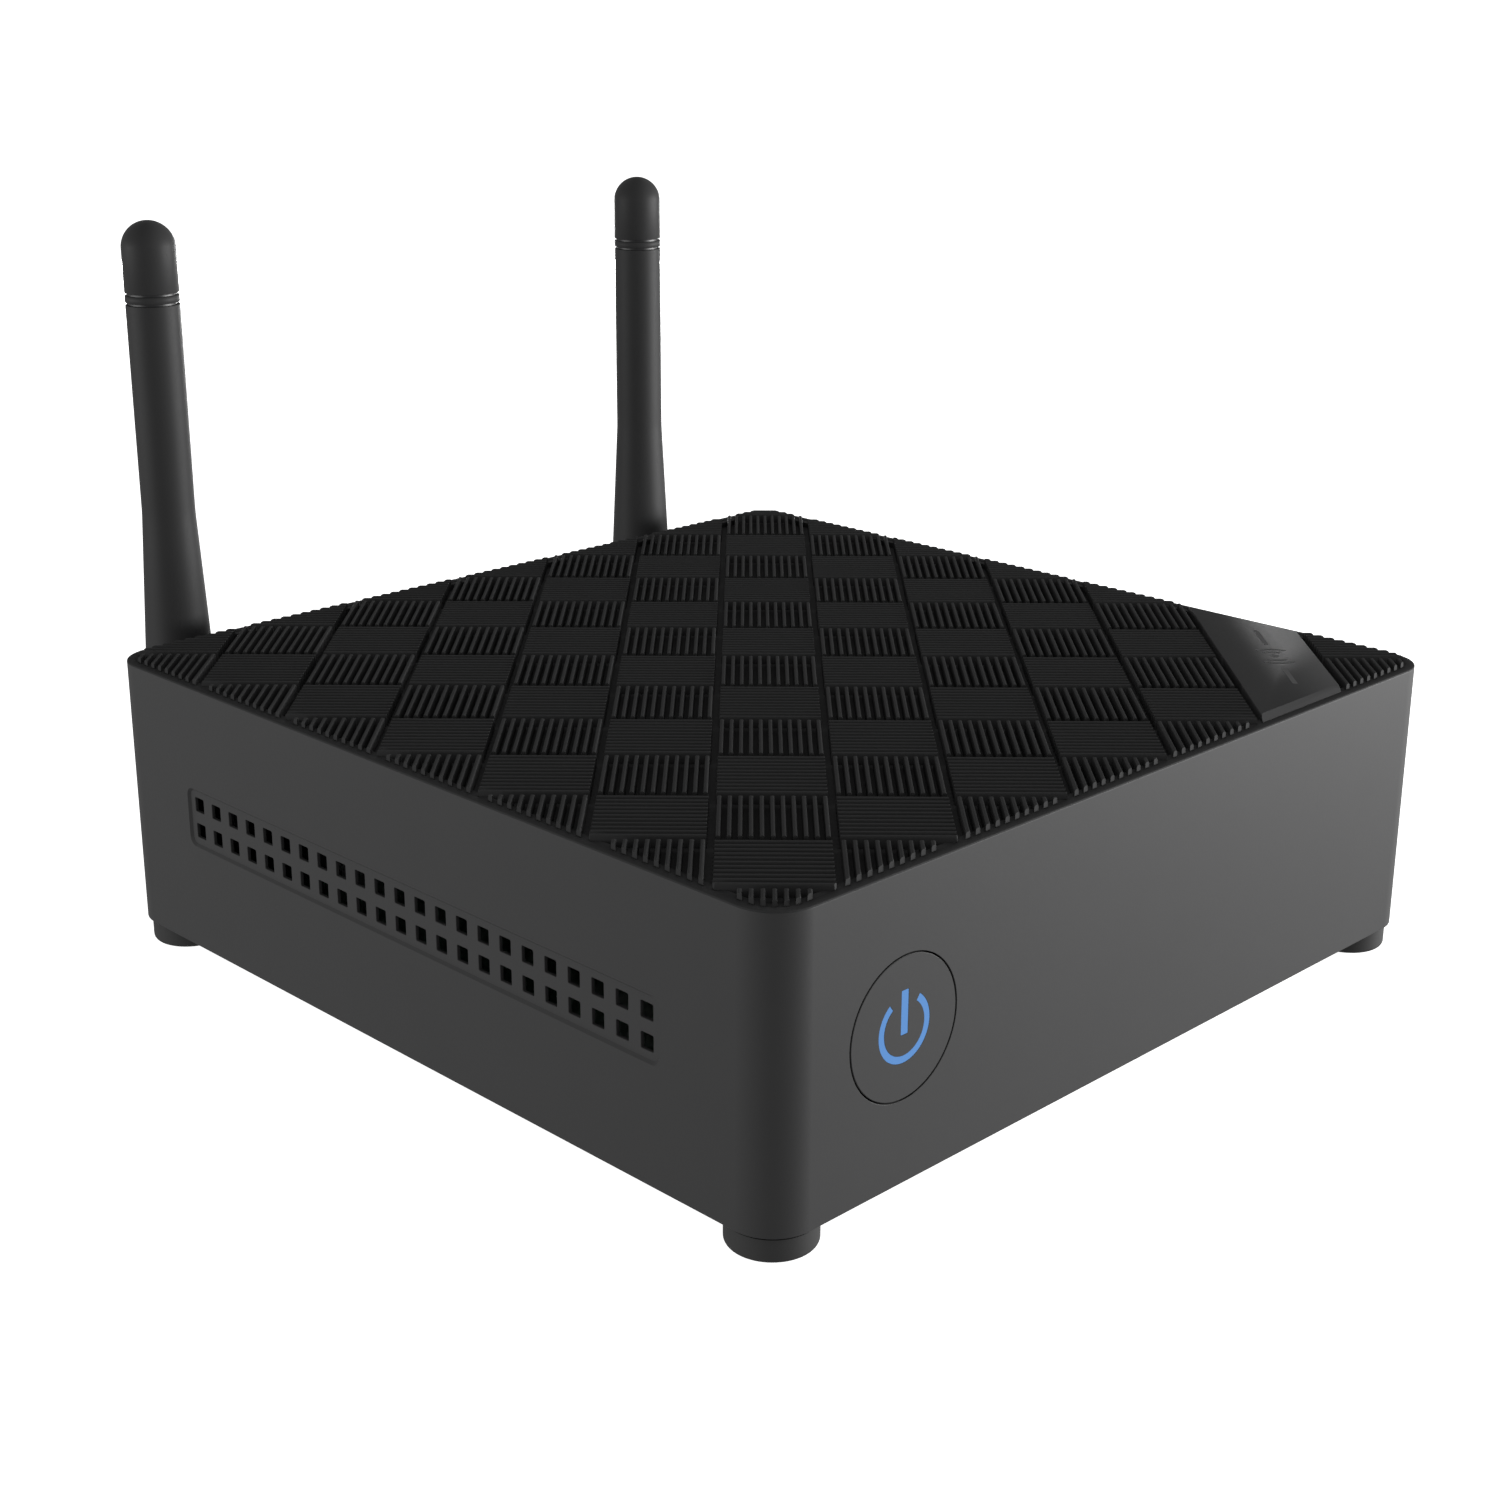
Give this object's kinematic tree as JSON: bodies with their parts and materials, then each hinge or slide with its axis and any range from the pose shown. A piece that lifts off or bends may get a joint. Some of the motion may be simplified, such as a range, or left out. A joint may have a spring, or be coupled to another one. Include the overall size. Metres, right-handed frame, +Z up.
{
  "type": "mesh wifi node",
  "caption": "Square desktop wifi node with a diagonal ribbed lid, side vents, a round power button, rear network sockets and hinged rear antennas.",
  "frame": {"origin": "on the surface that the feet stand on, under the middle of the whole object's box", "axes": "+Z up; the face with the power button looks along -Y; the sockets and antennas are at +Y; +X is the side to the right of the power button, seen from the front"},
  "size_m": [0.127, 0.1444, 0.0973],
  "materials": {
    "graphite_paint": "fine satin",
    "black_plastic": "satin, moulded",
    "smooth_black": "smooth satin",
    "antenna_plastic": "satin",
    "black_rubber": "matte",
    "light_guide": "blue, lit from behind",
    "circuit_board": "solder mask",
    "chip_package": "moulded",
    "steel": "plated",
    "aluminium": "extruded",
    "brass": "plain",
    "socket_plastic": "moulded",
    "thermal_rubber": "soft",
    "cable_jacket": "satin",
    "led_white": "clear"
  },
  "bodies": {
    "case": {"housing": "graphite_paint", "base_plate": "graphite_paint", "top_cover": "black_plastic", "badge_plate": "smooth_black", "foot_front_left": "black_rubber", "foot_front_right": "black_rubber", "foot_rear_left": "black_rubber", "foot_rear_right": "black_rubber", "case_screw_1": "steel", "case_screw_2": "steel", "case_screw_3": "steel", "case_screw_4": "steel", "board_screw_1": "steel", "board_screw_2": "steel", "board_screw_3": "steel", "board_screw_4": "steel", "heat_sink_screw_1": "steel", "heat_sink_screw_2": "steel", "wifi_shield_can": "steel", "ethernet_jack_1": "steel", "ethernet_jack_2": "steel", "ethernet_jack_3": "steel", "front_board": "circuit_board", "main_board": "circuit_board", "wifi_module": "circuit_board", "power_switch": "chip_package", "processor": "chip_package", "memory_chip_1": "chip_package", "memory_chip_2": "chip_package", "power_inductor_1": "chip_package", "power_inductor_2": "chip_package", "ethernet_transformers": "chip_package", "reset_switch": "chip_package", "power_led": "led_white", "front_board_header": "socket_plastic", "dc_jack": "socket_plastic", "thermal_pad": "thermal_rubber", "heat_sink": "aluminium", "capacitor_1": "aluminium", "capacitor_2": "aluminium", "antenna_cable_left": "cable_jacket", "antenna_cable_right": "cable_jacket"},
    "power_button_cap": {"power_button": "graphite_paint", "power_icon_light_guide": "light_guide"},
    "reset_button_pin": {"reset_button": "socket_plastic"},
    "antenna_left_swivel": {"antenna_base_left": "antenna_plastic", "antenna_clip_left": "steel", "antenna_pin_left": "steel"},
    "antenna_left_arm": {"antenna_sleeve_left": "antenna_plastic", "antenna_ring_left": "antenna_plastic", "antenna_tip_left": "antenna_plastic", "antenna_core_left": "brass"},
    "antenna_right_swivel": {"antenna_base_right": "antenna_plastic", "antenna_clip_right": "steel", "antenna_pin_right": "steel"},
    "antenna_right_arm": {"antenna_sleeve_right": "antenna_plastic", "antenna_ring_right": "antenna_plastic", "antenna_tip_right": "antenna_plastic", "antenna_core_right": "brass"}
  },
  "joints": [
    {"name": "power_button_press", "type": "slide", "parent": "case", "child": "power_button_cap", "axis": [0, 1, 0], "range_m": [0, 0.0006], "stiffness_N_per_m": 800},
    {"name": "reset_button_press", "type": "slide", "parent": "case", "child": "reset_button_pin", "axis": [0, -1, 0], "range_m": [0, 0.0003], "stiffness_N_per_m": 600},
    {"name": "antenna_left_swivel_turn", "type": "hinge", "parent": "case", "child": "antenna_left_swivel", "pos_m": [-0.0456, 0.06131, 0.0221], "axis": [0, 1, 0], "range_deg": [-90, 90]},
    {"name": "antenna_left_fold", "type": "hinge", "parent": "antenna_left_swivel", "child": "antenna_left_arm", "pos_m": [-0.0456, 0.06701, 0.0221], "axis": [-1, 0, 0], "range_deg": [0, 90]},
    {"name": "antenna_right_swivel_turn", "type": "hinge", "parent": "case", "child": "antenna_right_swivel", "pos_m": [0.0456, 0.06131, 0.0221], "axis": [0, 1, 0], "range_deg": [-90, 90]},
    {"name": "antenna_right_fold", "type": "hinge", "parent": "antenna_right_swivel", "child": "antenna_right_arm", "pos_m": [0.0456, 0.06701, 0.0221], "axis": [-1, 0, 0], "range_deg": [0, 90]}
  ]
}
